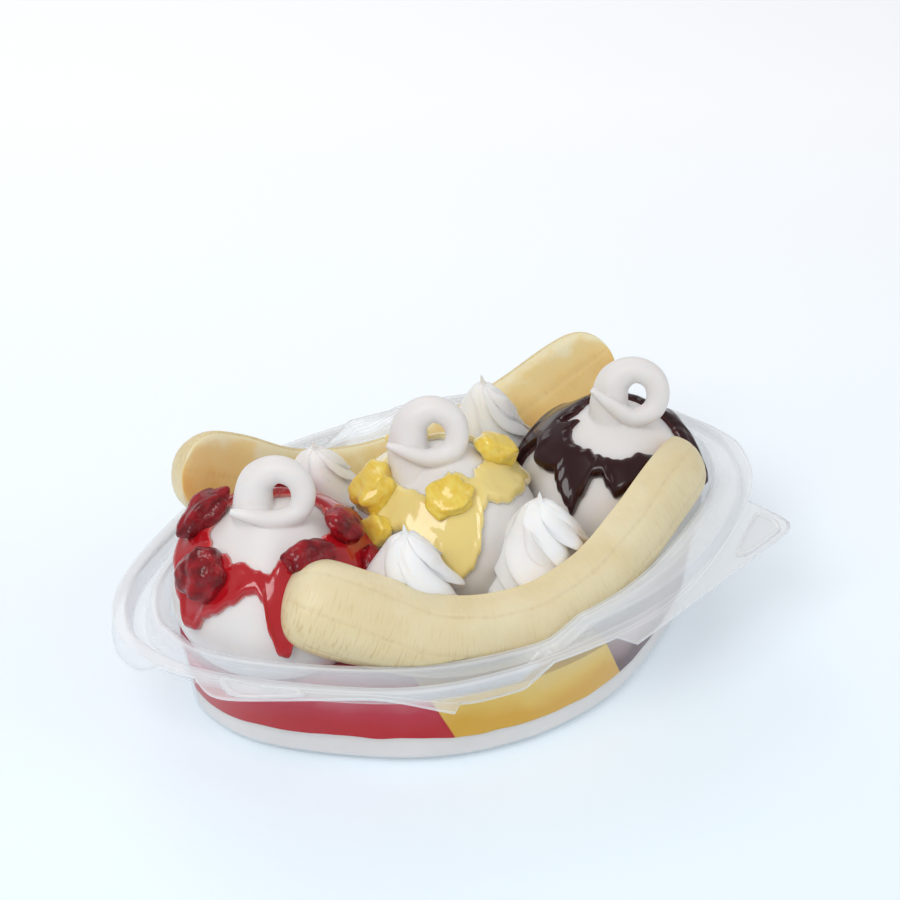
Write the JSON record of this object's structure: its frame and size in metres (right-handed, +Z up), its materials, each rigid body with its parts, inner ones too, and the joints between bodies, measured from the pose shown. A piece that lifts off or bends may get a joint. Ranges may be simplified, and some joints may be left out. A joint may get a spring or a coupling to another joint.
{
  "type": "banana split",
  "caption": "Banana split in a clear tabbed plastic tray: soft-serve scoops with curls, strawberry, pineapple and chocolate sauces, piped cream and peeled banana halves.",
  "frame": {"origin": "middle of the underside of the tray's flat base", "axes": "+X along the tray from the strawberry scoop to the chocolate scoop, +Y to the back banana half, +Z up"},
  "size_m": [0.2254, 0.1482, 0.0921],
  "materials": {
    "clear_plastic": "clear, glossy thermoformed plastic with a faint haze",
    "vanilla_ice_cream": "smooth, soft-edged, slightly moist soft-serve",
    "whipped_cream": "smooth, matte, white",
    "banana": "pale peeled flesh with fine cross marks and long seams",
    "strawberry_sauce": "wet, glossy, translucent red",
    "pineapple_sauce": "wet, glossy, translucent yellow",
    "chocolate_sauce": "wet, high gloss, nearly black brown",
    "strawberry_fruit": "wet, glistening dark red lumps",
    "pineapple_fruit": "wet, glistening golden chunks"
  },
  "bodies": {
    "root": {"tray": "clear_plastic", "ice_cream_bed": "vanilla_ice_cream", "banana_front": "banana", "banana_back": "banana", "strawberry_layer": "strawberry_sauce", "strawberry_scoop": "vanilla_ice_cream", "strawberry_sauce": "strawberry_sauce", "pineapple_layer": "pineapple_sauce", "pineapple_scoop": "vanilla_ice_cream", "pineapple_sauce": "pineapple_sauce", "chocolate_layer": "chocolate_sauce", "chocolate_scoop": "vanilla_ice_cream", "chocolate_sauce": "chocolate_sauce", "strawberry_piece_1": "strawberry_fruit", "strawberry_piece_2": "strawberry_fruit", "strawberry_piece_3": "strawberry_fruit", "strawberry_piece_4": "strawberry_fruit", "strawberry_piece_5": "strawberry_fruit", "strawberry_piece_6": "strawberry_fruit", "pineapple_piece_1": "pineapple_fruit", "pineapple_piece_2": "pineapple_fruit", "pineapple_piece_3": "pineapple_fruit", "pineapple_piece_4": "pineapple_fruit", "pineapple_piece_5": "pineapple_fruit", "cream_left_back": "whipped_cream", "cream_middle_back": "whipped_cream", "cream_left_front": "whipped_cream", "cream_right_front": "whipped_cream"}
  },
  "joints": []
}
